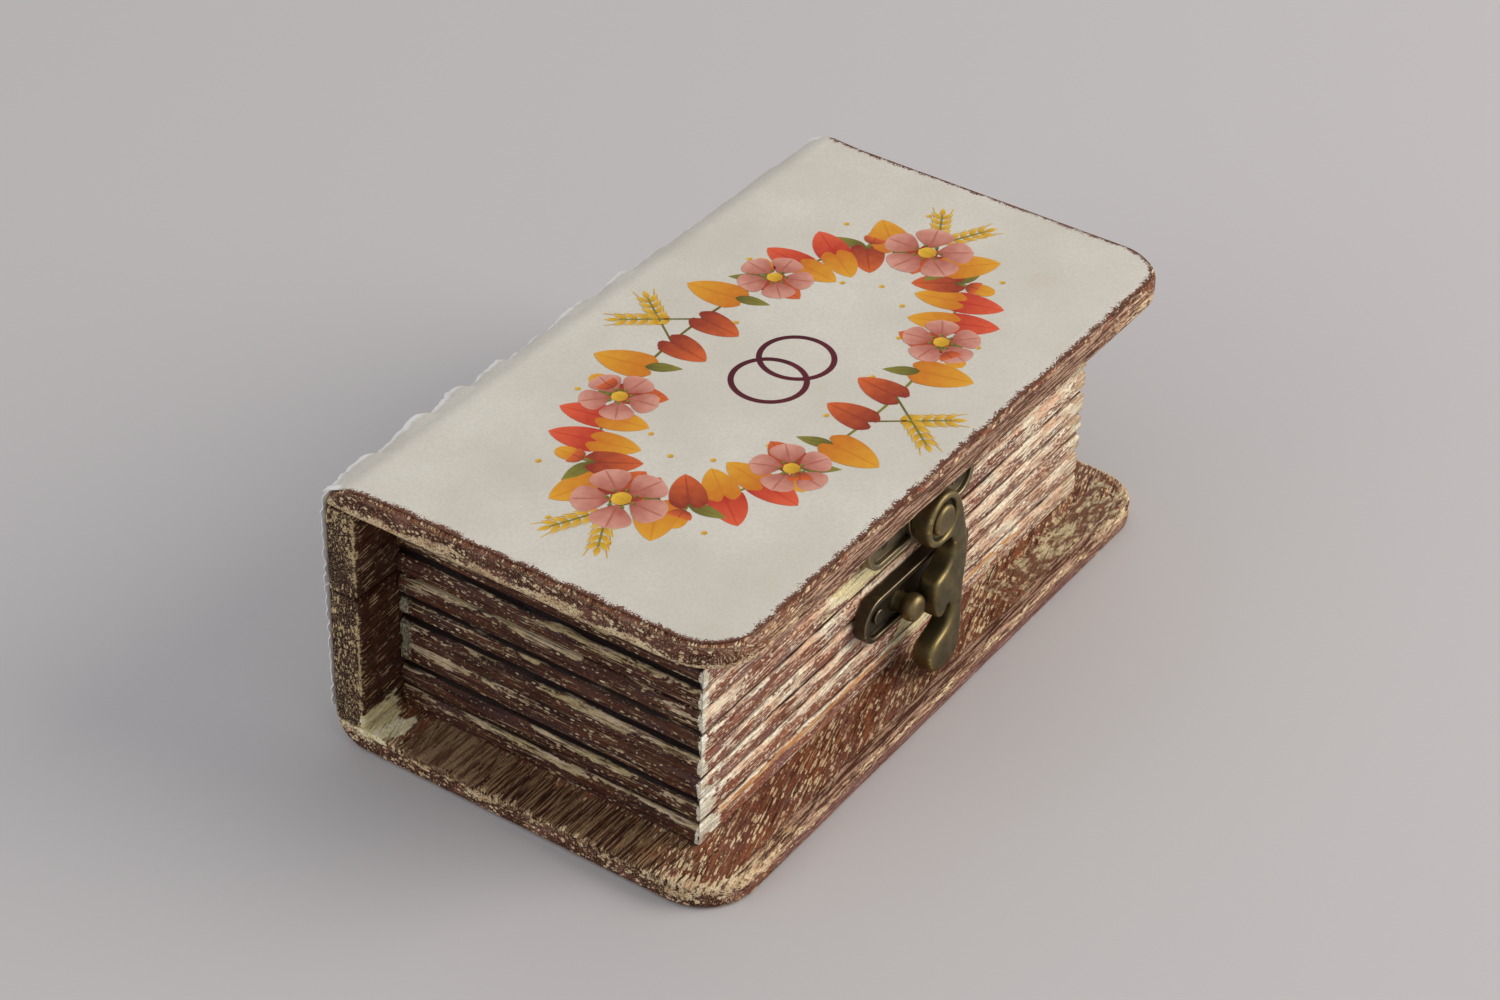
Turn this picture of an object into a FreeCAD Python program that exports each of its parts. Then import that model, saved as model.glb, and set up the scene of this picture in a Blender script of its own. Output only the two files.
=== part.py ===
import FreeCAD, Part
import math
import os

# A wooden keepsake box in the shape of a closed book, in millimetres.
# X runs along the spine, the fore-edge with its clasp faces -Y, the spine faces +Y and +Z is up.
# The origin is below the middle of the whole box, on the surface it stands on.

# Boards
length = 110.0
cover_depth = 62.0
cover_thickness = 3.6
cover_corner = 8.0
edge_round = 0.7
spine_thickness = 5.5
spine_round = 5.0

# Page walls between the covers
base_wall_height = 21.3
lid_wall_height = 13.2
seam_gap = 0.3
end_overhang = 7.6
front_overhang = 8.4
page_wall = 7.0
base_layers = 6
lid_layers = 4
groove_width = 1.3
groove_depth = 1.0

# Paper glued over the top cover and the spine
paper_thickness = 0.3
paper_border = 1.0
spine_paper_low = 5.5
paper_end_border = 0.6

# Butt hinges let into the seam of the spine
hinge_inset = 25.0
leaf_length = 16.0
leaf_thickness = 0.8
leaf_gap = 0.4
leaf_margin = 0.9
knuckles = 3
knuckle_gap = 0.15
barrel_radius = 1.4
barrel_relief = 0.25
hinge_offset = 0.9
pin_radius = 0.7
pin_head_radius = 1.1
pin_head_thickness = 0.4
running_fit = 0.05
mortise_fit = 0.1
screw_head_radius = 1.15
screw_shank_radius = 0.6
screw_length = 6.0
screw_spacing = 9.0
screw_slot = 0.3

# Clasp plates on the fore-edge
plate_length = 26.0
plate_height = 7.0
plate_thickness = 2.0
plate_field_depth = 0.8
plate_rim = 0.9
plate_from_seam = 0.3
catch_from_seam = 4.5
nail_from_end = 4.0
nail_head_radius = 1.1
nail_head_thickness = 0.5
nail_shank_radius = 0.55
nail_length = 6.0

# Swing hook, its rivet and the peg it holds
rivet_radius = 1.5
rivet_head_radius = 2.3
rivet_head_thickness = 1.2
rivet_tail = 3.0
boss_radius = 3.6
boss_height = 0.2
hook_side_play = 0.1
hook_thickness = 3.2
hook_edge_round = 0.6
eye_radius = 4.1
eye_sink_radius = 3.0
eye_sink_depth = 1.1
arm_reach = 6.8
arm_width = 3.6
waist_inset = 1.8
lobe_width = 7.8
lobe_offset = 0.6
hook_floor_gap = 0.8
peg_offset = 3.9
peg_drop = 0.6
peg_radius = 1.4
peg_reach = 3.6
knob_radius = 2.0
knob_length = 2.4
beak_gap = 0.4
beak_round = 1.2
beak_rise = 3.2
beak_drop = 2.9
latch_play = 3.6

# Levels and faces worked out from the sizes above
base_wall_top = cover_thickness + base_wall_height
seam_z = base_wall_top + seam_gap / 2
lid_wall_low = base_wall_top + seam_gap
lid_wall_top = lid_wall_low + lid_wall_height
top_z = lid_wall_top + cover_thickness
front_y = -(cover_depth + hinge_offset + barrel_radius) / 2
spine_back = front_y + cover_depth
spine_face = spine_back - spine_thickness
pages_y = front_y + front_overhang
half_length = length / 2
pages_x = half_length - end_overhang
hinge_y = spine_back + hinge_offset
hinge_centres = (-half_length + hinge_inset, half_length - hinge_inset)
hasp_z = lid_wall_low + plate_from_seam + plate_height / 2
catch_z = base_wall_top - catch_from_seam - plate_height / 2
peg_z = catch_z - peg_drop
field_thickness = plate_thickness - plate_field_depth
boss_y = pages_y - plate_thickness - boss_height
hook_back_y = boss_y - hook_side_play
hook_front_y = hook_back_y - hook_thickness
beyond = length

X_AXIS = FreeCAD.Vector(1, 0, 0)
Y_AXIS = FreeCAD.Vector(0, 1, 0)
Z_AXIS = FreeCAD.Vector(0, 0, 1)


def point(x, y, z):
    return FreeCAD.Vector(x, y, z)


def block(x_span, y_span, z_span):
    """A box between three pairs of low and high values."""
    corner = point(x_span[0], y_span[0], z_span[0])
    return Part.makeBox(x_span[1] - x_span[0], y_span[1] - y_span[0], z_span[1] - z_span[0], corner)


def prism(points, direction):
    """A closed outline of straight runs, drawn out along a direction."""
    return Part.Face(Part.makePolygon(points + points[:1])).extrude(direction)


def rod_x(radius, x_span, y, z):
    return Part.makeCylinder(radius, x_span[1] - x_span[0], point(x_span[0], y, z), X_AXIS)


def rod_y(radius, y_span, x, z):
    return Part.makeCylinder(radius, y_span[1] - y_span[0], point(x, y_span[0], z), Y_AXIS)


def quarter(centre, radius, start, first_axis, second_axis):
    """A quarter arc about a centre, from start degrees in the plane of two axes."""
    stops = []
    for turn in (start, start + 45, start + 90):
        along = first_axis * (radius * math.cos(math.radians(turn)))
        across = second_axis * (radius * math.sin(math.radians(turn)))
        stops.append(centre + along + across)
    return Part.Arc(*stops).toShape(), stops[0], stops[2]


def cover_plan(inset, back, z_span):
    """A prism with the outline of a cover: square at the spine, rounded at the fore-edge corners."""
    x = half_length - inset
    front = front_y + inset
    radius = cover_corner - inset
    z = z_span[0]
    left, left_start, left_end = quarter(point(-x + radius, front + radius, z), radius, 180, X_AXIS, Y_AXIS)
    right, right_start, right_end = quarter(point(x - radius, front + radius, z), radius, 270, X_AXIS, Y_AXIS)
    back_left = point(-x, back, z)
    back_right = point(x, back, z)
    edges = [
        Part.makeLine(back_left, left_start),
        left,
        Part.makeLine(left_end, right_start),
        right,
        Part.makeLine(right_end, back_right),
        Part.makeLine(back_right, back_left),
    ]
    return Part.Face(Part.Wire(edges)).extrude(Z_AXIS * (z_span[1] - z_span[0]))


def book_section(skin):
    """The end view of the book, with its back corners rounded, grown by skin on the top and the back."""
    x = -half_length
    radius = spine_round + skin
    back = spine_back + skin
    top = top_z + skin
    lower, lower_start, lower_end = quarter(point(x, back - radius, radius), radius, 270, Y_AXIS, Z_AXIS)
    upper, upper_start, upper_end = quarter(point(x, back - radius, top - radius), radius, 0, Y_AXIS, Z_AXIS)
    front_low = point(x, front_y, 0)
    front_high = point(x, front_y, top)
    edges = [
        Part.makeLine(front_low, lower_start),
        lower,
        Part.makeLine(lower_end, upper_start),
        upper,
        Part.makeLine(upper_end, front_high),
        Part.makeLine(front_high, front_low),
    ]
    return Part.Face(Part.Wire(edges)).extrude(X_AXIS * length)


def book_block():
    """The outer form of the closed book, from which the boards are cut, with its outer edges eased."""
    solid = book_section(0).common(cover_plan(0, spine_back, (0, top_z)))
    outer = []
    for edge in solid.Edges:
        box = edge.BoundBox
        level = box.ZLength < edge_round and (box.ZMin < edge_round or box.ZMax > top_z - edge_round)
        back = box.YMin > spine_back - spine_round - edge_round
        at_end = box.XLength < edge_round
        if (level and box.YMin < spine_back - spine_round - edge_round) or (back and at_end):
            outer.append(edge)
    return solid.makeFillet(edge_round, outer)


def cover(book, z_span):
    return book.common(block((-beyond, beyond), (-beyond, beyond), z_span))


def page_profile(z_span, layers, seam_above):
    """The section of a page wall as (depth, height) points: V grooves, and half of one at the seam."""
    low, high = z_span
    pitch = (high - low) / layers
    half = groove_width / 2
    outline = [(page_wall, high), (page_wall, low)]
    outline += [(0, low)] if seam_above else [(groove_depth, low), (0, low + half)]
    for layer in range(1, layers):
        z = low + layer * pitch
        outline += [(0, z - half), (groove_depth, z), (0, z + half)]
    outline += [(0, high - half), (groove_depth, high)] if seam_above else [(0, high)]
    return outline


def front_pages(z_span, layers, seam_above):
    """The page wall at the fore-edge, mitred at both ends."""
    profile = page_profile(z_span, layers, seam_above)
    bar = prism([point(-pages_x, pages_y + depth, z) for depth, z in profile], X_AXIS * (2 * pages_x))
    inner_x = pages_x - page_wall
    inner_y = pages_y + page_wall
    plan = [
        point(-pages_x, pages_y, 0),
        point(pages_x, pages_y, 0),
        point(inner_x, inner_y, 0),
        point(-inner_x, inner_y, 0),
    ]
    return bar.common(prism(plan, Z_AXIS * top_z))


def end_pages(side, z_span, layers, seam_above):
    """The page wall at one end, from the mitre at the fore-edge to the spine. side is -1 or 1."""
    profile = page_profile(z_span, layers, seam_above)
    outline = [point(side * (pages_x - depth), pages_y, z) for depth, z in profile]
    bar = prism(outline, Y_AXIS * (spine_face - pages_y))
    inner_x = pages_x - page_wall
    plan = [
        point(side * pages_x, pages_y, 0),
        point(side * inner_x, pages_y + page_wall, 0),
        point(side * inner_x, spine_face, 0),
        point(side * pages_x, spine_face, 0),
    ]
    return bar.common(prism(plan, Z_AXIS * top_z))


def knuckle_spans(centre, own):
    """The stretches along X of one leaf's knuckles: own is 0 for the base's outer ones, 1 for the lid's."""
    width = (leaf_length - (knuckles - 1) * knuckle_gap) / knuckles
    starts = [centre - leaf_length / 2 + i * (width + knuckle_gap) for i in range(knuckles)]
    return [(start, start + width) for i, start in enumerate(starts) if i % 2 == own]


def leaf_span_z(up):
    """The heights of a leaf in the closed box. up is 1 on the lid and -1 on the base."""
    near = seam_z + up * leaf_gap / 2
    far = near + up * leaf_thickness
    return min(near, far), max(near, far)


leaf_depth = hinge_offset + spine_thickness - leaf_margin
screw_y = spine_back - spine_thickness / 2


def screw_places(centre):
    return [centre - screw_spacing / 2, centre + screw_spacing / 2]


def screw_body(x, up, fit):
    """A countersunk screw from the face of a leaf into the spine, grown by a fit for its hole."""
    face = seam_z + up * leaf_gap / 2
    cone = screw_head_radius - screw_shank_radius
    axis = Z_AXIS * up
    head_radius = screw_head_radius + fit
    shank_radius = screw_shank_radius + fit
    head = Part.makeCone(head_radius, shank_radius, cone, point(x, screw_y, face), axis)
    shank = Part.makeCylinder(shank_radius, screw_length + fit, point(x, screw_y, face), axis)
    return head.fuse(shank).removeSplitter()


def hinge_screw(x, up):
    face = seam_z + up * leaf_gap / 2
    half = screw_slot / 2
    slot = block((x - beyond, x + beyond), (screw_y - half, screw_y + half), (face - half, face + half))
    return screw_body(x, up, 0).cut(slot)


def hinge_leaf(centre, up):
    """A leaf with its knuckles, its bore for the pin and its screw holes."""
    own, other = (1, 0) if up > 0 else (0, 1)
    x_span = (centre - leaf_length / 2, centre + leaf_length / 2)
    leaf = block(x_span, (hinge_y - leaf_depth, hinge_y), leaf_span_z(up))
    for span in knuckle_spans(centre, other):
        room = (span[0] - knuckle_gap, span[1] + knuckle_gap)
        leaf = leaf.cut(rod_x(barrel_radius + barrel_relief, room, hinge_y, seam_z))
    for span in knuckle_spans(centre, own):
        leaf = leaf.fuse(rod_x(barrel_radius, span, hinge_y, seam_z))
    leaf = leaf.cut(rod_x(pin_radius + running_fit, x_span, hinge_y, seam_z))
    for x in screw_places(centre):
        leaf = leaf.cut(screw_body(x, up, running_fit))
    return leaf.removeSplitter()


def hinge_pin(centre):
    """The pin through the knuckles, with a flat head at each end."""
    reach = leaf_length / 2 + running_fit + pin_head_thickness
    pin = rod_x(pin_radius, (centre - reach, centre + reach), hinge_y, seam_z)
    for side in (-1, 1):
        ends = sorted((centre + side * reach, centre + side * (reach - pin_head_thickness)))
        pin = pin.fuse(rod_x(pin_head_radius, ends, hinge_y, seam_z))
    return pin.removeSplitter()


def hinge_room(centre):
    """The stretch along X that the barrel and the pin's heads need."""
    reach = leaf_length / 2 + pin_head_thickness + running_fit + barrel_relief
    return (centre - reach, centre + reach)


def hinge_seat(centre, up):
    """What one hinge takes out of a spine board: the mortise of its leaf, its barrel and its screws."""
    near, far = leaf_span_z(up)
    mortise_z = (seam_z, far) if up > 0 else (near, seam_z)
    half = leaf_length / 2 + mortise_fit
    mortise_y = (hinge_y - leaf_depth - mortise_fit, hinge_y)
    seat = block((centre - half, centre + half), mortise_y, mortise_z)
    seat = seat.fuse(rod_x(barrel_radius + barrel_relief, hinge_room(centre), hinge_y, seam_z))
    for x in screw_places(centre):
        seat = seat.fuse(screw_body(x, up, running_fit))
    return seat


def spine(book, up):
    """One half of the spine board, let in for the hinges."""
    z_span = (lid_wall_low, lid_wall_top) if up > 0 else (cover_thickness, base_wall_top)
    board = book.common(block((-beyond, beyond), (spine_face, beyond), z_span))
    for centre in hinge_centres:
        board = board.cut(hinge_seat(centre, up))
    return board


def paper_skin(z_span):
    """Paper laid over the book's top and back between two heights, cut away round the hinge barrels."""
    room = barrel_radius + barrel_relief + paper_thickness
    skin = book_section(paper_thickness).cut(book_section(0))
    reach = half_length - paper_end_border
    skin = skin.common(block((-reach, reach), (-beyond, beyond), z_span))
    for centre in hinge_centres:
        skin = skin.cut(block(hinge_room(centre), (spine_face, beyond), (seam_z - room, seam_z + room)))
    return skin


def lid_paper():
    """The sheet on the top cover: short of its edges, over the round of the spine and down to the seam."""
    sheet = paper_skin((lid_wall_low, beyond))
    field = cover_plan(paper_border, spine_back - spine_round, (lid_wall_low, beyond))
    wrap = block((-beyond, beyond), (spine_back - spine_round, beyond), (lid_wall_low, beyond))
    return sheet.common(field.fuse(wrap)).removeSplitter()


def plate_outline(margin, z, y_span):
    """A long plate with round ends about the middle of the fore-edge, smaller all round by a margin."""
    radius = plate_height / 2 - margin
    half = plate_length / 2 - plate_height / 2
    bar = block((-half, half), y_span, (z - radius, z + radius))
    for side in (-1, 1):
        bar = bar.fuse(rod_y(radius, y_span, side * half, z))
    return bar.removeSplitter()


def nail_places():
    reach = plate_length / 2 - nail_from_end
    return (-reach, reach)


def clasp_plate(z):
    """A plate with a raised rim, a sunk field and a hole for a nail near each end."""
    plate = plate_outline(0, z, (pages_y - plate_thickness, pages_y))
    plate = plate.cut(plate_outline(plate_rim, z, (pages_y - beyond, pages_y - field_thickness)))
    for x in nail_places():
        plate = plate.cut(rod_y(nail_shank_radius + running_fit, (pages_y - beyond, pages_y), x, z))
    return plate


def hasp_plate():
    """The upper plate, with a round boss under the hook and a hole for the rivet."""
    plate = clasp_plate(hasp_z).fuse(rod_y(boss_radius, (boss_y, pages_y), 0, hasp_z))
    plate = plate.cut(rod_y(rivet_radius + running_fit, (boss_y, pages_y), 0, hasp_z))
    return plate.removeSplitter()


def nails(z):
    """A round-headed nail near each end of a plate, seated on its field."""
    seat = pages_y - field_thickness
    pins = []
    for x in nail_places():
        shank = rod_y(nail_shank_radius, (seat, seat + nail_length), x, z)
        head = rod_y(nail_head_radius, (seat - nail_head_thickness, seat), x, z)
        pins.append(head.fuse(shank).removeSplitter())
    return Part.makeCompound(pins)


def pivot_rivet():
    """The rivet that carries the hook, with a domed head sunk in its eye and a tail in the page wall."""
    under_head = hook_front_y + eye_sink_depth - hook_side_play
    shaft = rod_y(rivet_radius, (under_head, pages_y + rivet_tail), 0, hasp_z)
    head = rod_y(rivet_head_radius, (under_head - rivet_head_thickness, under_head), 0, hasp_z)
    front_rim = [edge for edge in head.Edges if edge.BoundBox.YMax < under_head - rivet_head_thickness / 2]
    return head.makeFillet(rivet_head_thickness / 2, front_rim).fuse(shaft).removeSplitter()


def catch_peg():
    """The peg on the lower plate, with a round knob at its end and a tail in the page wall."""
    seat = pages_y - field_thickness
    end = seat - peg_reach
    knob = rod_y(knob_radius, (end, end + knob_length), -peg_offset, peg_z)
    rims = [edge for edge in knob.Edges if edge.BoundBox.YLength < knob_length / 2]
    knob = knob.makeFillet(knob_length * 0.4, rims)
    shank = rod_y(peg_radius, (end + knob_length / 2, seat), -peg_offset, peg_z)
    tail = rod_y(rivet_radius, (seat, pages_y + rivet_tail), -peg_offset, peg_z)
    return knob.fuse(shank).fuse(tail).removeSplitter()


def hook_outline():
    """Points round the hook, from its eye down the arm, round the lobe and back by the beak.

    Each is a place between the named sizes, given from the rivet's axis, and a smooth curve joins them.
    """
    drop = hasp_z - peg_z
    throat = drop + knob_radius + latch_play
    floor = hasp_z - cover_thickness - hook_floor_gap
    lobe_half = lobe_width / 2
    lobe_deep = (floor - throat) / 2
    lobe_z = -(floor + throat) / 2
    slant = math.sqrt(0.5)
    shoulder = eye_radius * slant
    arm_inside = arm_reach - arm_width
    waist_x = arm_reach - waist_inset
    slot_x = waist_x - arm_width * 0.78
    beak_x = -peg_offset + knob_radius + beak_gap
    beak_low = -drop - beak_drop
    beak_top = -drop + beak_rise
    slot_low = -throat + latch_play * 0.3
    tip_x = beak_x + beak_round
    tip_z = beak_low + beak_round

    return [
        (-eye_radius, 0),
        (-shoulder, shoulder),
        (0, eye_radius),
        (shoulder, shoulder),
        (arm_reach - eye_radius / 4, -eye_radius * 0.8),
        (arm_reach, -drop * 0.6),
        (waist_x + waist_inset * 0.3, -drop),
        (waist_x, -(drop + throat) / 2),
        (lobe_offset + lobe_half, lobe_z + lobe_deep * 0.4),
        (lobe_offset + lobe_half * slant, lobe_z - lobe_deep * slant),
        (lobe_offset, -floor),
        (lobe_offset - lobe_half * slant, lobe_z - lobe_deep * slant),
        (lobe_offset - lobe_half, lobe_z),
        (lobe_offset - lobe_half * slant, lobe_z + lobe_deep * slant),
        (lobe_offset - lobe_half * 0.15, -throat),
        (slot_x - arm_width * 0.15, slot_low),
        (slot_x, (slot_low + beak_low) / 2),
        (slot_x - arm_width * 0.03, tip_z - beak_round * 0.5),
        (slot_x - arm_width * 0.2, tip_z),
        (tip_x + beak_round * slant, tip_z - beak_round * slant),
        (tip_x, beak_low),
        (tip_x - beak_round * slant, tip_z - beak_round * slant),
        (beak_x, tip_z),
        (beak_x, beak_top - beak_round),
        (tip_x - beak_round * slant, beak_top - beak_round * (1 - slant)),
        (tip_x, beak_top),
        (arm_inside - arm_width * 0.15, beak_top + beak_rise * 0.5),
        (arm_inside, (beak_top - eye_radius) / 2),
        (shoulder * 0.8, -eye_radius * 1.08),
        (-shoulder * 0.2, -eye_radius),
        (-shoulder, -shoulder),
    ]


def swing_hook():
    """The hook: an eye on the rivet, an arm round the knob, a beak beside it and a lobe below it."""
    stops = [point(x, hook_back_y, hasp_z + z) for x, z in hook_outline()]
    curve = Part.BSplineCurve()
    curve.interpolate(Points=stops, PeriodicFlag=True)
    face = Part.Face(Part.Wire([curve.toShape()]))
    hook = face.extrude(Y_AXIS * -hook_thickness)
    rims = [edge for edge in hook.Edges if edge.BoundBox.YLength < hook_thickness / 2]
    hook = hook.makeFillet(hook_edge_round, rims)
    sink = rod_y(eye_sink_radius, (hook_front_y - beyond, hook_front_y + eye_sink_depth), 0, hasp_z)
    eye = rod_y(rivet_radius + running_fit, (hook_front_y - beyond, hook_back_y + beyond), 0, hasp_z)
    return hook.cut(sink).cut(eye)


def drilled(wall, fasteners):
    """A page wall with the holes of the nails and the tail that a plate sets in it."""
    for x, z, radius, reach in fasteners:
        wall = wall.cut(rod_y(radius + running_fit, (pages_y - beyond, pages_y + reach), x, z))
    return wall


def build():
    book = book_block()
    base_span = (cover_thickness, base_wall_top)
    lid_span = (lid_wall_low, lid_wall_top)
    nail_reach = nail_length - field_thickness + running_fit
    tail_reach = rivet_tail + running_fit
    base_holes = [(x, catch_z, nail_shank_radius, nail_reach) for x in nail_places()]
    base_holes.append((-peg_offset, peg_z, rivet_radius, tail_reach))
    lid_holes = [(x, hasp_z, nail_shank_radius, nail_reach) for x in nail_places()]
    lid_holes.append((0, hasp_z, rivet_radius, tail_reach))
    peg_hole = rod_y(rivet_radius + running_fit, (pages_y - beyond, pages_y), -peg_offset, peg_z)

    parts = {
        "bottom_cover": cover(book, (0, cover_thickness)),
        "top_cover": cover(book, (lid_wall_top, top_z)),
        "base_spine": spine(book, -1),
        "lid_spine": spine(book, 1),
        "base_front_pages": drilled(front_pages(base_span, base_layers, True), base_holes),
        "lid_front_pages": drilled(front_pages(lid_span, lid_layers, False), lid_holes),
        "cover_paper": lid_paper(),
        "spine_paper": paper_skin((spine_paper_low, base_wall_top)),
        "catch_plate": clasp_plate(catch_z).cut(peg_hole),
        "catch_nails": nails(catch_z),
        "catch_peg": catch_peg(),
        "hasp_plate": hasp_plate(),
        "hasp_nails": nails(hasp_z),
        "pivot_rivet": pivot_rivet(),
        "swing_hook": swing_hook(),
    }
    for name, side, centre in (("left", -1, hinge_centres[0]), ("right", 1, hinge_centres[1])):
        parts["base_" + name + "_pages"] = end_pages(side, base_span, base_layers, True)
        parts["lid_" + name + "_pages"] = end_pages(side, lid_span, lid_layers, False)
        parts["base_hinge_leaf_" + name] = hinge_leaf(centre, -1)
        parts["lid_hinge_leaf_" + name] = hinge_leaf(centre, 1)
        parts["hinge_pin_" + name] = hinge_pin(centre)
    screw_xs = [x for centre in hinge_centres for x in screw_places(centre)]
    parts["base_hinge_screws"] = Part.makeCompound([hinge_screw(x, -1) for x in screw_xs])
    parts["lid_hinge_screws"] = Part.makeCompound([hinge_screw(x, 1) for x in screw_xs])
    return parts


os.makedirs("parts", exist_ok=True)
for name, shape in build().items():
    shape.exportStep("parts/" + name + ".step")
    state = "valid" if shape.isValid() else "INVALID"
    print(name, len(shape.Solids), "solids", round(shape.Volume, 2), "mm3", state)
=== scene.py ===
import math
import random

import bmesh
import bpy
from mathutils import Matrix, Vector, noise


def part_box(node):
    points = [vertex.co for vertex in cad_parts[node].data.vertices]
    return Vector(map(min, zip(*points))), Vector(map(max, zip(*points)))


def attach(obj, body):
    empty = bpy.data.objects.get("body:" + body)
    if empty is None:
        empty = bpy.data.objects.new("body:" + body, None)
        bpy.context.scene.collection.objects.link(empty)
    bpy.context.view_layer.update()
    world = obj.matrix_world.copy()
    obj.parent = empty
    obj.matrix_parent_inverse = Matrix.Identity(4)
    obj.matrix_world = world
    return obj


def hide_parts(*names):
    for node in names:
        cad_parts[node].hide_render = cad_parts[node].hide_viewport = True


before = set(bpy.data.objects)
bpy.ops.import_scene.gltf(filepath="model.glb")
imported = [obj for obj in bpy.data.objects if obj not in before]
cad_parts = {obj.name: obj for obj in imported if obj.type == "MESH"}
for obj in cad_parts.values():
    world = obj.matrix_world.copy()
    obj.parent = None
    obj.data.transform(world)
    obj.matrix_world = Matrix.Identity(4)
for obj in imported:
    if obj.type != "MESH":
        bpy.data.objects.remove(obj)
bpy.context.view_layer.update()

# A book-shaped keepsake box: painted and rubbed-back wood, paper glued over the top and spine, and an
# antique clasp.
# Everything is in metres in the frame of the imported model. Sizes named in millimetres are turned by MM.
MM = 0.001
chance = random.Random(11)

# Wooden boards, in millimetres
cover_corner = 8.0
spine_round = 5.0
outer_ease = 0.7
inner_ease = 0.45
board_voxel = 0.45
wall_voxel = 0.26

# Hollows that sanding leaves, in millimetres: the depth, two sizes with their shares of it, and how far from
# the seam the wood stays flat
sanding = 0.16
hollow_kinds = ((7.0, 0.6), (1.6, 0.4))
seam_band = 0.35

# Saw cuts that part the page layers, in millimetres: width and depth on the fore-edge and at the ends, and
# how far a cut strays. Then the least and most share of the depth that a cut has, and the share at the seam.
base_layers = 6
lid_layers = 4
front_groove = (1.3, 0.6)
end_groove = (2.0, 1.0)
cut_stray = 0.35
cut_shares = (0.5, 1.1)
seam_cut = 0.6
mitre_lap = 0.12

# Hinges let into the spine, in millimetres: the leaves, and the room round leaf, barrel and pin
leaf_thickness = 0.8
leaf_gap = 0.4
mortise_fit = 0.12
barrel_room = 0.25
pin_room = 0.6
past_back = 2.0

# Paper, in millimetres: its margins, its body and the spacing of its grid
paper_border = 0.8
paper_end = 0.35
paper_low = 5.5
paper_thickness = 0.16
paper_lift = 0.04
paper_wave = 0.02
wave_length = 5.0
front_sag = 0.10
paper_column = 0.55
flat_row = 1.4
round_row = 0.5
fine_row = 0.4
corner_rows = 15

# Torn and loose edges of the paper, in millimetres, rows and degrees
tear_angle = 62.0
torn_rows = 8
under_tear = 2.2
flake_length = 9.0
most_stand = 1.9
curl_width = 1.8
most_curl = 0.5
fray = 0.3
notch_end = 0.6
notch_half = 1.95

# The hook's lower end, which is bent forwards, in millimetres
hook_bend = 1.2
bend_start = 9.0
bend_length = 17.0

# Places taken from the frame
bottom_low, bottom_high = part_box("bottom_cover")
top_low, top_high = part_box("top_cover")
base_spine_low, base_spine_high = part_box("base_spine")
lid_spine_low, lid_spine_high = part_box("lid_spine")
front_low, front_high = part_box("base_front_pages")
front_y = bottom_low.y
spine_back = bottom_high.y
spine_face = base_spine_low.y
half_length = bottom_high.x
pages_y = front_low.y
pages_x = front_high.x
seam_z = (base_spine_high.z + lid_spine_low.z) / 2
top_z = top_high.z


# Modelling steps

def near(a, b, slack=0.02 * MM):
    return abs(a - b) < slack


def clear_selection():
    """Leave edit mode and deselect everything."""
    if bpy.context.mode != "OBJECT":
        bpy.ops.object.mode_set(mode="OBJECT")
    bpy.ops.object.select_all(action="DESELECT")


def focus(piece):
    """Make one piece the only one that operators meet."""
    clear_selection()
    piece.select_set(True)
    bpy.context.view_layer.objects.active = piece


def edit(piece):
    focus(piece)
    bpy.ops.object.mode_set(mode="EDIT")


def settle(name):
    """Name the newest piece and put its place, turn and size into its mesh."""
    piece = bpy.context.object
    piece.name = name
    piece.data.name = name
    focus(piece)
    bpy.ops.object.transform_apply(location=True, rotation=True, scale=True)
    return piece


def solid_box(name, low, high):
    clear_selection()
    low, high = Vector(low), Vector(high)
    bpy.ops.mesh.primitive_cube_add(size=1, location=(low + high) / 2, scale=high - low)
    return settle(name)


def flat_grid(name, across, along):
    """A flat square metre about the origin, in even faces."""
    clear_selection()
    bpy.ops.mesh.primitive_grid_add(x_subdivisions=across, y_subdivisions=along, size=1)
    return settle(name)


def pick(piece, kind, test, along=None):
    """In edit mode, select the verts, edges or faces whose every corner passes the test.

    Where along is given, only edges that run along that axis are taken.
    """
    bpy.ops.mesh.select_mode(type={"verts": "VERT", "edges": "EDGE", "faces": "FACE"}[kind])
    bpy.ops.mesh.select_all(action="DESELECT")
    mesh = bmesh.from_edit_mesh(piece.data)
    for part in getattr(mesh, kind):
        corners = [part.co] if kind == "verts" else [corner.co for corner in part.verts]
        runs = along is None or all(near(corners[0][i], corners[1][i]) for i in range(3) if i != along)
        part.select_set(runs and all(test(corner) for corner in corners))
    mesh.select_flush_mode()
    bmesh.update_edit_mesh(piece.data)


def score(place, facing, **settings):
    """In edit mode, cut a line of edges round the piece."""
    bpy.ops.mesh.select_all(action="SELECT")
    bpy.ops.mesh.bisect(plane_co=place, plane_no=facing, **settings)


def slice_off(place, facing):
    """In edit mode, take away what lies beyond a plane and close the cut."""
    score(place, facing, use_fill=True, clear_outer=True)


def finish_modifier(piece, kind, **settings):
    """Add a modifier with its settings and apply it."""
    focus(piece)
    modifier = piece.modifiers.new(kind.lower(), kind)
    for key, value in settings.items():
        setattr(modifier, key, value)
    bpy.ops.object.modifier_apply(modifier=modifier.name)


def carve(piece, cutter):
    """Take the shape of a cutter out of a piece."""
    finish_modifier(piece, "BOOLEAN", object=cutter, operation="DIFFERENCE", solver="EXACT")
    bpy.data.objects.remove(cutter)


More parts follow.
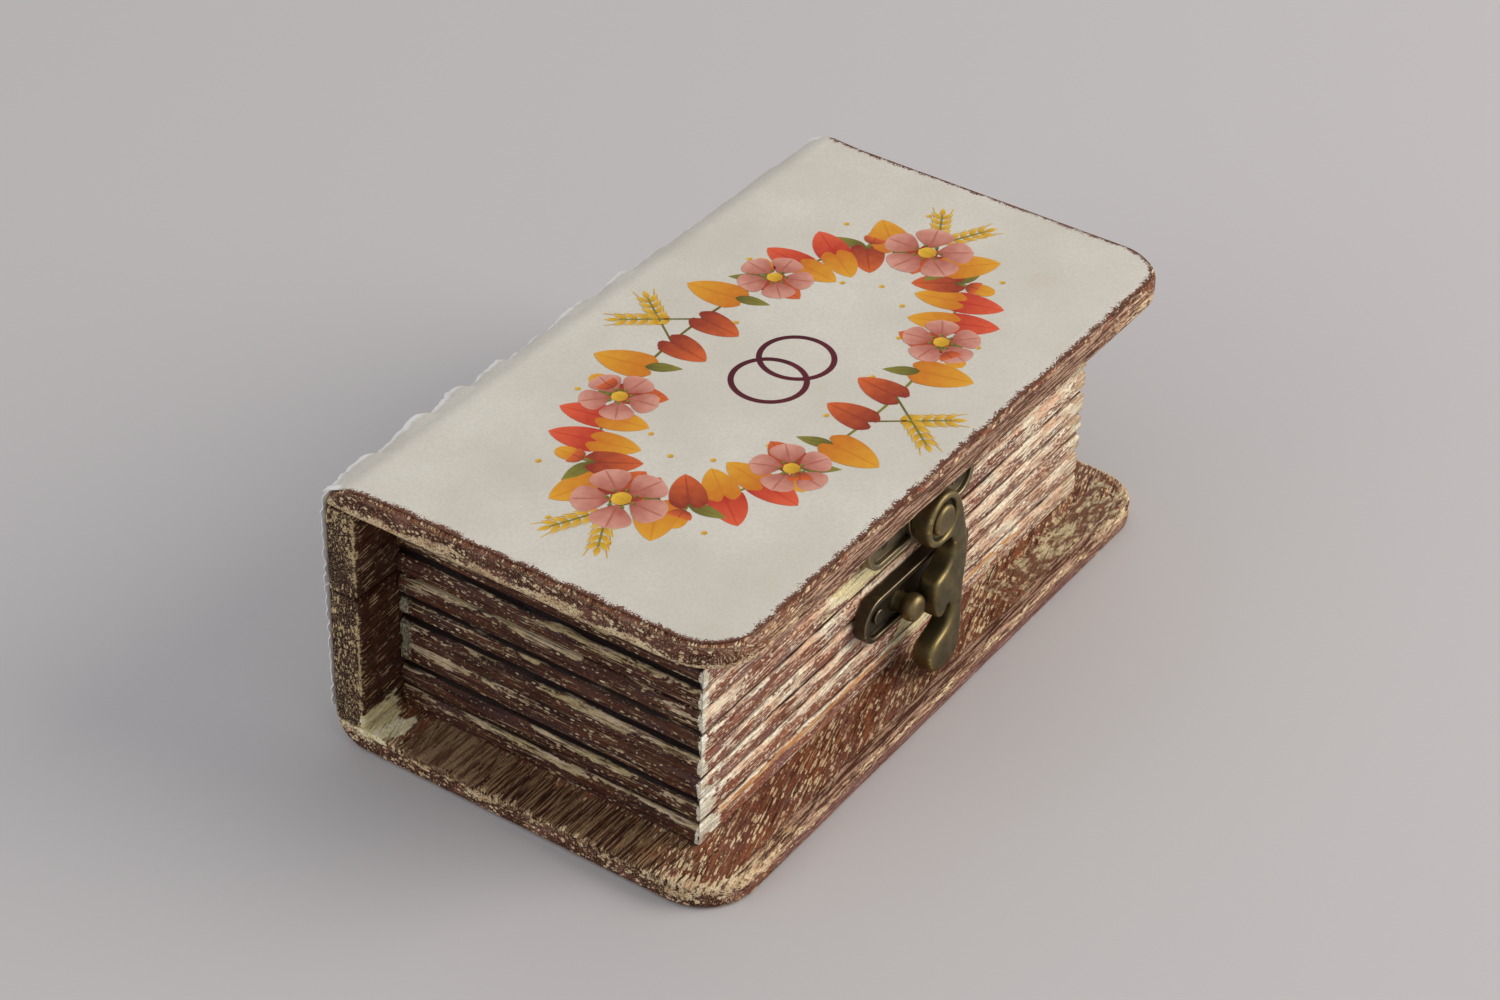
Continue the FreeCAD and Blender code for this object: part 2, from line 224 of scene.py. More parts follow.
def weather(piece, voxel):
    """Turn a clean board into a hand-sanded one: even small faces, then shallow hollows."""
    finish_modifier(piece, "REMESH", mode="VOXEL", voxel_size=voxel * MM, use_smooth_shade=True)
    group = piece.vertex_groups.new(name="sanded")
    for vertex in piece.data.vertices:
        at_seam = near(vertex.co.z, seam_z, seam_band * MM)
        group.add([vertex.index], 0.0 if at_seam else 1.0, "REPLACE")
    for size, share in hollow_kinds:
        hollows = bpy.data.textures.new("hollows", "CLOUDS")
        hollows.noise_scale = size * MM
        hollows.noise_depth = 2
        depth = sanding * share * MM
        finish_modifier(
            piece, "DISPLACE", texture=hollows, texture_coords="LOCAL", strength=depth, mid_level=1.0,
            vertex_group="sanded",
        )
    piece.vertex_groups.clear()
    focus(piece)
    bpy.ops.object.shade_smooth()


def place_piece(piece, body, slot, material, *nodes):
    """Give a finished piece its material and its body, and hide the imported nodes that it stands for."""
    piece.data.materials.clear()
    piece.data.materials.append(material)
    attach(piece, body)
    if nodes:
        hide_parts(*nodes)


# Materials
# Inputs are given by name, or by number where names repeat: a Mix node takes its share at 0 and two vectors
# at 4 and 5 or two colours at 6 and 7.
two_colours = {"out": 2, "data_type": "RGBA"}


def colour(text):
    """An sRGB hex colour as linear red, green, blue and alpha."""
    channels = [int(text[i:i + 2], 16) / 255 for i in (1, 3, 5)]
    return [c / 12.92 if c <= 0.04045 else ((c + 0.055) / 1.055) ** 2.4 for c in channels] + [1.0]


def per_mm(x, y, z):
    """Mapping scales for a pattern whose cells measure x, y and z millimetres."""
    return (1 / (x * MM), 1 / (y * MM), 1 / (z * MM))


def new_material(name):
    material = bpy.data.materials.new(name)
    material.use_nodes = True
    material.node_tree.nodes.clear()
    return material


def node(owner, kind, inputs=None, out=0, **settings):
    """Add a node with its settings, give its inputs values or links, and return one of its outputs."""
    tree = owner.node_tree
    made = tree.nodes.new("ShaderNode" + kind)
    for key, value in settings.items():
        setattr(made, key, value)
    for key, value in (inputs or {}).items():
        if isinstance(value, bpy.types.NodeSocket):
            tree.links.new(value, made.inputs[key])
        else:
            made.inputs[key].default_value = value
    return made.outputs[out] if len(made.outputs) else made


def surface(material, **inputs):
    """Close a material with its shader. Spaces in the shader's input names are written as underscores."""
    named = {key.replace("_", " "): value for key, value in inputs.items()}
    shader = node(material, "BsdfPrincipled", named)
    node(material, "OutputMaterial", {"Surface": shader})
    return material


def cells(m, on, size, detail=3.0):
    """A cloudy pattern whose cells have one size, or one along each axis, in millimetres."""
    sizes = size if isinstance(size, tuple) else (size, size, size)
    spread = node(m, "Mapping", {"Vector": on, "Scale": per_mm(*sizes)})
    return node(m, "TexNoise", {"Vector": spread, "Scale": 1.0, "Detail": detail, "Roughness": 0.6})


def rubbed_areas(m, place, grain, end_face, drift, ends, far_wear):
    """How far each place of the paint is rubbed.

    drift is the size of the areas that are rubbed more or less, and how much. ends and far_wear are how much
    more the end grain and the far end of the piece are rubbed.
    """
    size, most = drift
    areas = {"Value": cells(m, grain, size, 2.0), "From Min": 0.25, "From Max": 0.75}
    areas = node(m, "MapRange", areas | {"To Min": -most, "To Max": most})
    along = node(m, "SeparateXYZ", {0: place}, "X")
    towards = {"Value": along, "From Min": -0.4 * half_length, "From Max": half_length, "To Max": far_wear}
    rubbed = node(m, "Math", {0: areas, 1: node(m, "MapRange", towards)}, operation="ADD")
    return node(m, "Math", {0: end_face, 1: ends, 2: rubbed}, operation="MULTIPLY_ADD")


def pale_grains(m, grain, end_face, rubbed, grains):
    """Slim pale grains, each with a size of its own and a crumbled outline.

    grains are the cells, in millimetres, that hold one grain along the wood and on its end grain, and the
    least and most radius of a grain in its cell.
    """
    along_cell, end_cell, least, most = grains
    shake = {"Vector": grain, "Scale": 1 / (0.8 * MM), "Detail": 4.0, "Roughness": 0.65}
    sway = {0: node(m, "TexNoise", shake, "Color"), 1: (0.9 * MM, 0.2 * MM, 0.2 * MM), 2: grain}
    bent = node(m, "VectorMath", sway, operation="MULTIPLY_ADD")
    sizes = {0: end_face, 4: per_mm(*along_cell), 5: per_mm(*end_cell)}
    spread = node(m, "Mapping", {"Vector": bent, "Scale": node(m, "Mix", sizes, 1, data_type="VECTOR")})
    away = node(m, "TexVoronoi", {"Vector": spread, "Scale": 1.0}, "Distance")
    own = node(m, "SeparateColor", {0: away.node.outputs["Color"]})
    radius = node(m, "MapRange", {"Value": own, "To Min": least, "To Max": most})
    radius = node(m, "Math", {0: radius, 1: rubbed}, operation="ADD")
    crumbs = cells(m, grain, (0.7, 0.3, 0.3), 4.0)
    radius = node(m, "Math", {0: crumbs, 1: 0.9, 2: radius}, operation="MULTIPLY_ADD")
    inside = node(m, "Math", {0: radius, 1: away}, operation="SUBTRACT")
    return node(m, "MapRange", {"Value": inside, "From Min": 0.42, "From Max": 0.52})


def scratches_and_dust(m, grain, rubbed, scratches):
    """Long scratches and fine dust. scratches are a cell in millimetres and the level where they show."""
    cell, level = scratches
    streaks = {0: rubbed, 1: 0.3, 2: cells(m, grain, cell, 4.0)}
    streaks = node(m, "Math", streaks, operation="MULTIPLY_ADD")
    lines = node(m, "MapRange", {"Value": streaks, "From Min": level, "From Max": level + 0.06})
    specks = cells(m, grain, (0.6, 0.3, 0.3), 2.0)
    dust = node(m, "MapRange", {"Value": specks, "From Min": 0.63, "From Max": 0.70, "To Max": 0.7})
    return node(m, "Math", {0: lines, 1: dust}, operation="MAXIMUM")


def pale_edges(m, grain, rubbed, edges):
    """Pale edges, wide in some places, lost in others and broken along the grain.

    edges are their least and most width in millimetres.
    """
    least, most = edges
    wide = {"Value": cells(m, grain, (13.0, 6.0, 2.2)), "From Min": 0.38, "From Max": 0.66}
    wide = node(m, "MapRange", wide | {"To Min": least, "To Max": most})
    limit = node(m, "Math", {0: rubbed, 1: 2.5, 2: wide}, operation="MULTIPLY_ADD")
    ragged = cells(m, grain, (0.9, 0.4, 0.4), 6.0)
    limit = node(m, "Math", {0: ragged, 1: 2.0, 2: limit}, operation="MULTIPLY_ADD")
    from_edge = node(m, "Attribute", out="Fac", attribute_name="from_edge")
    band = node(m, "Math", {0: limit, 1: from_edge}, operation="SUBTRACT")
    pale = node(m, "MapRange", {"Value": band, "From Min": 0.98, "From Max": 1.12})
    fibres = cells(m, grain, (4.0, 0.3, 0.24), 5.0)
    broken = node(m, "MapRange", {"Value": fibres, "From Min": 0.40, "From Max": 0.48, "To Min": 0.15})
    return node(m, "Math", {0: pale, 1: broken}, operation="MULTIPLY")


def brown_coat(m, grain, end_face, paints):
    """The top coat, streaked along the grain and darker on its ends.

    paints are its dark and its light colour and the cast that some areas have.
    """
    dark, light, cast = (colour(paint) for paint in paints)
    streaks = cells(m, grain, (9.0, 0.6, 0.6), 4.0)
    tone = node(m, "MapRange", {"Value": streaks, "From Min": 0.36, "From Max": 0.64})
    tone = node(m, "Math", {0: end_face, 1: -0.7, 2: tone}, operation="MULTIPLY_ADD")
    coat = node(m, "Mix", {0: tone, 6: dark, 7: light}, **two_colours)
    areas = cells(m, grain, (10.0, 3.0, 2.2), 4.0)
    areas = node(m, "MapRange", {"Value": areas, "From Min": 0.48, "From Max": 0.64, "To Max": 0.8})
    return node(m, "Mix", {0: areas, 6: coat, 7: cast}, **two_colours)


def dab(m, place, shown, centre, half, stroke, shades):
    """Another coat of two shades, brushed ragged over a box.

    The box's centre and half sizes and the size of one brush stroke are in millimetres.
    """
    offset = node(m, "VectorMath", {0: place, 1: [c * MM for c in centre]}, operation="SUBTRACT")
    offset = node(m, "VectorMath", {0: offset, 1: [h * MM for h in half]}, operation="DIVIDE")
    offset = node(m, "VectorMath", {0: offset}, operation="ABSOLUTE")
    sides = node(m, "SeparateXYZ", {0: offset}).node.outputs
    far = node(m, "Math", {0: sides["X"], 1: sides["Y"]}, operation="MAXIMUM")
    far = node(m, "Math", {0: far, 1: sides["Z"]}, operation="MAXIMUM")
    far = node(m, "Math", {0: cells(m, place, stroke, 5.0), 1: 2.6, 2: far}, operation="MULTIPLY_ADD")
    covered = node(m, "MapRange", {"Value": far, "From Min": 2.20, "From Max": 2.10})
    hairs = cells(m, place, (2.0 * stroke[0], 0.6 * stroke[1], 0.6 * stroke[2]), 4.0)
    brush = node(m, "MapRange", {"Value": hairs, "From Min": 0.46, "From Max": 0.58})
    brushed = node(m, "Mix", {0: brush, 6: colour(shades[0]), 7: colour(shades[1])}, **two_colours)
    return node(m, "Mix", {0: covered, 6: shown, 7: brushed}, **two_colours)


def saw_cut_shade(m, place, grain, facing, shown, cuts):
    """Painted shade in the saw cuts between the page layers: their floors are darkened.

    cuts are the axis across a page wall, the places, in metres, of its face and of the floor of its cuts,
    the colour of the painted shade and the share of their depth where it begins. Level faces and what lies
    behind the cuts stay as they are.
    """
    axis, face, floor, dark, begin = cuts
    depth = node(m, "SeparateXYZ", {0: place}, axis)
    depth = node(m, "MapRange", {"Value": depth, "From Min": face, "From Max": floor}, clamp=False)
    waver = cells(m, grain, (7.0, 0.9, 0.9), 4.0)
    uneven = node(m, "Math", {0: waver, 1: 0.8, 2: depth}, operation="MULTIPLY_ADD")
    cut = node(m, "MapRange", {"Value": uneven, "From Min": begin + 0.3, "From Max": begin + 0.55})
    outer = node(m, "MapRange", {"Value": depth, "From Min": 1.45, "From Max": 1.25})
    cut = node(m, "Math", {0: cut, 1: outer}, operation="MULTIPLY")
    steep = node(m, "Math", {0: node(m, "SeparateXYZ", {0: facing}, "Z")}, operation="ABSOLUTE")
    flank = node(m, "MapRange", {"Value": steep, "From Min": 0.93, "From Max": 0.83})
    cut = node(m, "Math", {0: cut, 1: flank}, operation="MULTIPLY")
    return node(m, "Mix", {0: cut, 6: shown, 7: colour(dark)}, **two_colours)


def distressed_wood(
    name, turn, paints, creams, grains, scratches, drift, ends, edges, far_wear=0.0, cuts=None, patches=(),
):
    """Wood painted cream, then brown, and rubbed back while dry.

    The eye gets a brown coat broken by slim pale grains and scratches that follow the wood, ragged pale
    edges, dust and thin dark scores. On the page walls the floors of the saw cuts are darkened as painted
    shade.
    turn lays the grain along X, creams are two colours of the undercoat, and patches are dabs of other coats.
    """
    m = new_material(name)
    place = node(m, "TexCoord", out="Object")
    grain = node(m, "Mapping", {"Vector": place, "Rotation": turn})
    facing = node(m, "Mapping", {"Vector": node(m, "TexCoord", out="Normal"), "Rotation": turn})
    across = node(m, "Math", {0: node(m, "SeparateXYZ", {0: facing})}, operation="ABSOLUTE")
    end_face = node(m, "MapRange", {"Value": across, "From Min": 0.6, "From Max": 0.9})

    rubbed = rubbed_areas(m, place, grain, end_face, drift, ends, far_wear)
    flecks = pale_grains(m, grain, end_face, rubbed, grains)
    lines = scratches_and_dust(m, grain, rubbed, scratches)
    bare = node(m, "Math", {0: flecks, 1: lines}, operation="MAXIMUM")
    bare = node(m, "Math", {0: bare, 1: pale_edges(m, grain, rubbed, edges)}, operation="MAXIMUM")

    coat = brown_coat(m, grain, end_face, paints)
    clouds = cells(m, grain, (5.0, 1.4, 1.4), 4.0)
    tint = node(m, "MapRange", {"Value": clouds, "From Min": 0.40, "From Max": 0.60})
    under = node(m, "Mix", {0: tint, 6: colour(creams[0]), 7: colour(creams[1])}, **two_colours)
    shown = node(m, "Mix", {0: bare, 6: coat, 7: under}, **two_colours)
    for patch in patches:
        shown = dab(m, place, shown, *patch)
    nicks = cells(m, grain, (6.0, 0.24, 0.2), 5.0)
    nicks = node(m, "MapRange", {"Value": nicks, "From Min": 0.58, "From Max": 0.64, "To Max": 0.75})
    shown = node(m, "Mix", {0: nicks, 6: shown, 7: colour("#2a160f")}, **two_colours)
    # Painted shade: the floors of the saw cuts are darkened.
    if cuts:
        shown = saw_cut_shade(m, place, grain, facing, shown, cuts)
    grit = {"Value": cells(m, grain, (0.5, 0.3, 0.3), 2.0), "From Min": 0.3, "From Max": 0.7}
    grit = node(m, "MapRange", grit | {"To Min": 0.75, "To Max": 1.25})
    shown = node(m, "Mix", {0: 1.0, 6: shown, 7: grit}, blend_type="MULTIPLY", **two_colours)

    fibres = cells(m, grain, (4.0, 0.2, 0.2))
    height = node(m, "Math", {0: bare, 1: 0.6, 2: fibres}, operation="MULTIPLY_ADD")
    bump = node(m, "Bump", {"Height": height, "Strength": 0.7, "Distance": 0.12 * MM})
    dull = node(m, "MapRange", {"Value": bare, "To Min": 0.55, "To Max": 0.82})
    return surface(m, Base_Color=shown, Roughness=dull, Specular_IOR_Level=0.15, Normal=bump)


def glued_paper(name):
    """Uncoated paper, torn at the spine and brushed with brown paint at its rim.

    The eye gets a warm off-white sheet with faint clouds and fibres, white pulp at the tears and a hairy
    brown rim. Each point of a sheet keeps how far it lies from the tear and from the painted rim.
    """
    m = new_material(name)
    place = node(m, "TexCoord", out="Object")
    clouds = node(m, "MapRange", {"Value": cells(m, place, 16.0), "From Min": 0.3, "From Max": 0.7})
    sheet = node(m, "Mix", {0: clouds, 6: colour("#cdc7ba"), 7: colour("#dad5ca")}, **two_colours)
    grit = {"Value": cells(m, place, 0.45, 2.0), "From Min": 0.35, "From Max": 0.65, "To Max": 0.3}
    grit = node(m, "MapRange", grit)
    sheet = node(m, "Mix", {0: grit, 6: sheet, 7: colour("#bdb4a5")}, **two_colours)
    torn = node(m, "Attribute", out="Fac", attribute_name="torn")
    ragged = node(m, "Math", {0: cells(m, place, 0.8), 1: 1.6, 2: torn}, operation="MULTIPLY_ADD")
    pulp = node(m, "MapRange", {"Value": ragged, "From Min": 2.0, "From Max": 1.3})
    sheet = node(m, "Mix", {0: pulp, 6: sheet, 7: colour("#efede8")}, **two_colours)
    rim = node(m, "Attribute", out="Fac", attribute_name="rim")
    strokes = node(m, "Math", {0: cells(m, place, 1.8, 2.0), 1: -1.6, 2: rim}, operation="MULTIPLY_ADD")
    hairs = node(m, "Math", {0: cells(m, place, 0.24), 1: -2.6, 2: strokes}, operation="MULTIPLY_ADD")
    brush = node(m, "MapRange", {"Value": hairs, "From Min": -1.5, "From Max": -1.7})
    browns = {0: cells(m, place, 0.6), 6: colour("#3a1f17"), 7: colour("#84543f")}
    paint = node(m, "Mix", browns, **two_colours)
    sheet = node(m, "Mix", {0: brush, 6: sheet, 7: paint}, **two_colours)
    bump = node(m, "Bump", {"Height": cells(m, place, 0.35), "Strength": 0.25, "Distance": 0.05 * MM})
    return surface(m, Base_Color=sheet, Roughness=0.88, Specular_IOR_Level=0.3, Normal=bump)


def antique_brass(name, patina, metal, wear_and_highlight_from):
    """Brass, cast, pressed, turned or rolled, then browned and rubbed bright where hands and edges meet.

    The eye gets an olive-brown skin of two shades, dull in the hollows, with warm gold on the crests, which
    is rubbed brass and in part a painted highlight along the edges.
    """
    m = new_material(name)
    place = node(m, "TexCoord", out="Object")
    convex = node(m, "NewGeometry", out="Pointiness")
    # Gold on the crests: rubbed brass, and in part a painted highlight along the edges.
    rub = node(m, "Math", {0: cells(m, place, 2.6), 1: 0.05, 2: convex}, operation="MULTIPLY_ADD")
    wear_and_highlight = node(m, "MapRange", {"Value": rub, "From Min": wear_and_highlight_from, "From Max": wear_and_highlight_from + 0.05})
    hollow = node(m, "MapRange", {"Value": convex, "From Min": 0.49, "From Max": 0.45})
    shades = {0: cells(m, place, 0.9), 6: colour(patina[0]), 7: colour(patina[1])}
    skin = node(m, "Mix", shades, **two_colours)
    skin = node(m, "Mix", {0: hollow, 6: skin, 7: colour("#1d1912")}, **two_colours)
    shown = node(m, "Mix", {0: wear_and_highlight, 6: skin, 7: colour(metal)}, **two_colours)
    rough = node(m, "MapRange", {"Value": wear_and_highlight, "To Min": 0.48, "To Max": 0.32})
    bump = node(m, "Bump", {"Height": cells(m, place, 0.6), "Strength": 0.25, "Distance": 0.05 * MM})
    return surface(m, Base_Color=shown, Metallic=1.0, Roughness=rough, Normal=bump)


def printed_ink(name, root, tip):
    """Water-based ink soaked into paper.

    The eye gets a soft run of colour from a motif's root to its tip, with a darker rib.
    """
    m = new_material(name)
    uv = node(m, "SeparateXYZ", {0: node(m, "TexCoord", out="UV")}).node.outputs
    place = node(m, "TexCoord", out="Object")
    spread = node(m, "Mapping", {"Vector": place, "Scale": per_mm(1.4, 1.4, 1.4)})
    wash = node(m, "TexNoise", {"Vector": spread, "Scale": 1.0, "Detail": 4.0})
    run = node(m, "Math", {0: wash, 1: 0.7, 2: uv["Y"]}, operation="MULTIPLY_ADD")
    run = node(m, "MapRange", {"Value": run, "From Min": 0.35, "From Max": 1.35})
    shown = node(m, "Mix", {0: run, 6: colour(root), 7: colour(tip)}, **two_colours)
    off_rib = node(m, "Math", {0: uv["X"], 1: 0.5}, operation="SUBTRACT")
    off_rib = node(m, "Math", {0: off_rib}, operation="ABSOLUTE")
    rib = node(m, "MapRange", {"Value": off_rib, "From Min": 0.045, "From Max": 0.02, "To Max": 0.6})
    shown = node(m, "Mix", {0: rib, 6: shown, 7: colour(root)}, **two_colours)
    return surface(m, Base_Color=shown, Roughness=0.8, Specular_IOR_Level=0.3)


# Two shades of each coat that was dabbed on or rubbed through by hand
white_coat = ("#d8ceb4", "#f4efe0")
old_cream = ("#e6d6a2", "#f8eecb")
tan_smear = ("#664a36", "#9c805f")
# Long strokes on the bottom board's near end; their dark shade is partly painted shade for that end.
long_strokes_and_shade = ("#3c2118", "#9a7a58")
mossy_rub = ("#7a5541", "#cfc09a")
mauve_rub = ("#6b443c", "#a07a6e")
rim_lines = ("#5c3a2c", "#c09c82")
under_cover = ("#bfa082", "#efe4c8")
apricot = ("#c98f5c", "#e6c093")
glue_smear = ("#6f6650", "#bdb49a")

# Places of painted faces in millimetres, for the centres of the dabs
board_z = bottom_high.z / MM
fore_y = pages_y / MM
end_x = pages_x / MM
foot_y = spine_face / MM

# The bottom board has strokes, darker in part as painted shade, a smear and old cream at its near end, and
# a mossy rub at its far front. The front edges of both boards are rubbed along most of their length.
board_paint = distressed_wood(
    "distressed_painted_board", (0, 0, -math.radians(16)), ("#4a281c", "#985c3e", "#7d5145"),
    ("#cdab84", "#e6d0a8"), grains=((1.9, 0.36, 0.3), (1.6, 0.7, 0.5), 0.06, 0.56),
    scratches=((6.0, 0.22, 0.2), 0.595), drift=((9.0, 5.0, 5.0), 0.10), ends=-0.02, edges=(0.7, 2.2),
    patches=[
        ((-51.5, -1.0, board_z), (4.6, 25.0, 0.9), (3.0, 0.4, 0.8), long_strokes_and_shade),
        ((-51.0, 12.6, board_z), (5.4, 6.6, 0.8), (3.0, 0.9, 0.8), tan_smear),
        ((-52.2, 22.9, board_z), (4.6, 2.8, 0.9), (7.0, 3.0, 2.0), old_cream),
        ((36.0, -28.4, board_z), (18.0, 3.4, 0.8), (1.3, 1.6, 0.8), mossy_rub),
        ((0.0, -31.0, 3.4), (50.0, 1.3, 0.9), (3.0, 0.5, 0.5), rim_lines),
        ((0.0, -32.2, 1.4), (50.0, 0.9, 1.1), (3.0, 0.5, 0.5), mauve_rub),
        ((0.0, -32.2, 40.2), (50.0, 0.9, 1.9), (3.0, 0.5, 0.5), rim_lines),
    ],
)
spine_paint = distressed_wood(
    "distressed_painted_spine", (0, math.radians(9), 0), ("#2f1811", "#5a3423", "#4a342b"),
    ("#bca077", "#d0b88a"), grains=((3.6, 0.32, 0.3), (3.6, 0.36, 0.75), -0.2, 0.40),
    scratches=((5.0, 0.22, 0.18), 0.62), drift=((7.0, 4.0, 7.0), 0.12), ends=0.20, edges=(-0.2, 0.6),
    patches=[((-52.0, foot_y, 4.4), (4.6, 1.0, 2.2), (7.0, 3.0, 2.0), old_cream)],
)
# The fore-edge has an apricot line low down, two dabs of old cream and pale wood under the top cover. Its
# near corner is white, most of all at the foot, and its far corner pale.
front_paint = distressed_wood(
    "distressed_painted_fore_edge", (0, math.radians(2), 0), ("#70402f", "#9c614a", "#84605e"),
    ("#f6ead0", "#e6bf9f"), grains=((0.9, 0.5, 0.24), (0.9, 0.5, 0.3), -0.02, 0.48),
    scratches=((7.0, 0.3, 0.2), 0.565), drift=((34.0, 4.0, 2.6), 0.14), ends=0.1, edges=(-0.6, 1.8),
    # The dark colour of the cuts is painted shade in the saw cuts.
    far_wear=0.22, cuts=("Y", pages_y, pages_y + front_groove[1] * MM, "#3a2018", 0.66),
    patches=[
        ((-8.0, fore_y, 6.3), (42.0, 0.9, 0.38), (3.0, 0.5, 0.5), apricot),
        ((3.0, fore_y, 8.2), (5.4, 1.6, 2.4), (4.0, 0.8, 1.2), old_cream),
        ((-10.0, fore_y, 23.7), (10.5, 1.6, 2.0), (5.0, 0.8, 0.9), old_cream),
        ((26.0, fore_y, 36.6), (24.0, 2.4, 1.3), (3.0, 0.8, 0.5), under_cover),
        ((-end_x, fore_y, 8.5), (5.0, 2.4, 6.0), (2.6, 0.8, 0.9), white_coat),
        ((-end_x, fore_y, 24.0), (1.4, 2.4, 20.0), (1.6, 0.8, 0.9), white_coat),
        ((end_x, fore_y, 22.0), (4.0, 2.4, 24.0), (2.6, 0.8, 0.9), under_cover),
    ],
)
# The ends are white at the fore-edge corner and have smeared glue at the spine. Their coats and cut floors
# are darker than the fore-edge's: painted shade of the shaded near end, used at both ends.
shaded_end_paints = {
    side: distressed_wood(
        "distressed_painted_shaded_end_" + name, (0, 0, -math.radians(90)), ("#28130d", "#643c29", "#4e3431"),
        ("#b5a277", "#cdb596"), grains=((1.0, 0.6, 0.4), (1.0, 0.6, 0.4), -0.2, 0.40),
        scratches=((6.0, 0.4, 0.24), 0.61), drift=((30.0, 4.0, 3.0), 0.14), ends=0.0, edges=(-1.5, 0.8),
        # The near-black colour of the cuts is painted shade, darker than on the fore-edge.
        cuts=("X", side * pages_x, side * (pages_x - end_groove[1] * MM), "#180c08", 0.56),
        patches=[
            ((side * end_x, fore_y, 22.0), (1.5, 0.7, 24.0), (0.8, 0.6, 0.9), white_coat),
            ((side * end_x, 23.6, 17.0), (1.6, 1.2, 6.0), (0.8, 0.4, 0.8), glue_smear),
        ],
    )
    for side, name in ((-1, "left"), (1, "right"))
}
paper = glued_paper("torn_uncoated_paper")
plate_brass = antique_brass("blackened_pressed_brass", ("#3a332a", "#5a5142"), "#a08f70", 0.53)
clasp_brass = antique_brass("blackened_cast_brass", ("#4b4433", "#72684d"), "#b29c64", 0.524)
# The hasp plate is the catch plate's pressed brass painted lighter: painted light where the top cover shades
# it.
hasp_brass_painted_lighter = antique_brass("pressed_brass_painted_lighter", ("#6c624e", "#8c8068"), "#b8a882", 0.53)
rivet_brass = antique_brass("rubbed_turned_brass", ("#5f543b", "#867553"), "#b8a26e", 0.525)
hinge_brass = antique_brass("tarnished_rolled_brass", ("#54492e", "#6d5c39"), "#a58c58", 0.56)


# Wooden boards

def book_block(name):
    """The closed book as one block, rounded in plan at the fore-edge and along the spine."""
    piece = solid_box(name, (-half_length, front_y, 0), (half_length, spine_back, top_z))
    edit(piece)
    pick(piece, "edges", lambda p: near(p.y, front_y), along=2)
    bpy.ops.mesh.bevel(offset=cover_corner * MM, segments=12, affect="EDGES")
    pick(piece, "edges", lambda p: near(p.y, spine_back), along=0)
    bpy.ops.mesh.bevel(offset=spine_round * MM, segments=10, affect="EDGES")
    bpy.ops.mesh.select_all(action="DESELECT")
    bpy.ops.mesh.edges_select_sharp(sharpness=math.radians(50))
    bpy.ops.mesh.bevel(offset=outer_ease * MM, segments=3, affect="EDGES")
    return piece


def note_edges(piece, measure):
    """Keep how far each point lies from an edge that hands wear, in millimetres, for the paint."""
    distances = [measure(vertex.co) / MM for vertex in piece.data.vertices]
    piece.data.attributes.new("from_edge", "FLOAT", "POINT").data.foreach_set("value", distances)


def inside_plan(point):
    """How far a point lies inside the outline of the covers."""
    radius = cover_corner * MM
    past_side = abs(point.x) - (half_length - radius)
    past_front = front_y + radius - point.y
    if past_side > 0 and past_front > 0:
        return radius - math.hypot(past_side, past_front)
    return radius - max(past_side, past_front)


def cover_board(name, node_name, body, level, away):
    """One cover: the block cut at a level, with the rim of the cut eased up to the spine."""
    piece = book_block(name)
    slice_off((0, 0, level), (0, 0, away))
    score((0, spine_face, 0), (0, 1, 0))
    pick(piece, "edges", lambda p: near(p.z, level) and (p.y < spine_face or near(p.y, spine_face)))
    bpy.ops.mesh.bevel(offset=inner_ease * MM, segments=2, affect="EDGES")
    weather(piece, board_voxel)
    note_edges(piece, lambda p: max(inside_plan(p), abs(p.z - level)))
    place_piece(piece, body, "distressed_wood", board_paint, node_name)


def let_in_hinge(piece, body, side):
    """Cut the place of a hinge leaf and of the hinge's barrel into half of the spine."""
    leaf_low, leaf_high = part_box(body + "_hinge_leaf_" + side)
    pin_low, pin_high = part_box("hinge_pin_" + side)
    fit = mortise_fit * MM
    flat = seam_z + (1 if body == "lid" else -1) * (leaf_gap / 2 + leaf_thickness) * MM
    mortise = solid_box(
        "mortise", (leaf_low.x - fit, leaf_low.y - fit, min(flat, seam_z)),
        (leaf_high.x + fit, spine_back + past_back * MM, max(flat, seam_z)),
    )
    carve(piece, mortise)
    clear_selection()
    barrel = (leaf_high.z - leaf_low.z) / 2
    bpy.ops.mesh.primitive_cylinder_add(
        vertices=32, radius=barrel + barrel_room * MM, depth=pin_high.x - pin_low.x + pin_room * MM,
        location=(pin_low + pin_high) / 2, rotation=(0, math.radians(90), 0),
    )
    carve(piece, settle("barrel_room"))


def spine_board(name, node_name, body, low_z, high_z):
    """Half of the spine, cut from the block and let in for the two hinges."""
    piece = book_block(name)
    slice_off((0, spine_face, 0), (0, -1, 0))
    slice_off((0, 0, low_z), (0, 0, -1))
    slice_off((0, 0, high_z), (0, 0, 1))
    pick(piece, "edges", lambda p: near(p.y, spine_face) and near(abs(p.x), half_length, outer_ease * MM))
    bpy.ops.mesh.bevel(offset=inner_ease * MM, segments=2, affect="EDGES")
    for side in ("left", "right"):
        let_in_hinge(piece, body, side)
    weather(piece, board_voxel)
    note_edges(piece, lambda p: max(half_length - abs(p.x), p.y - spine_face))
    place_piece(piece, body, "distressed_wood", spine_paint, node_name)


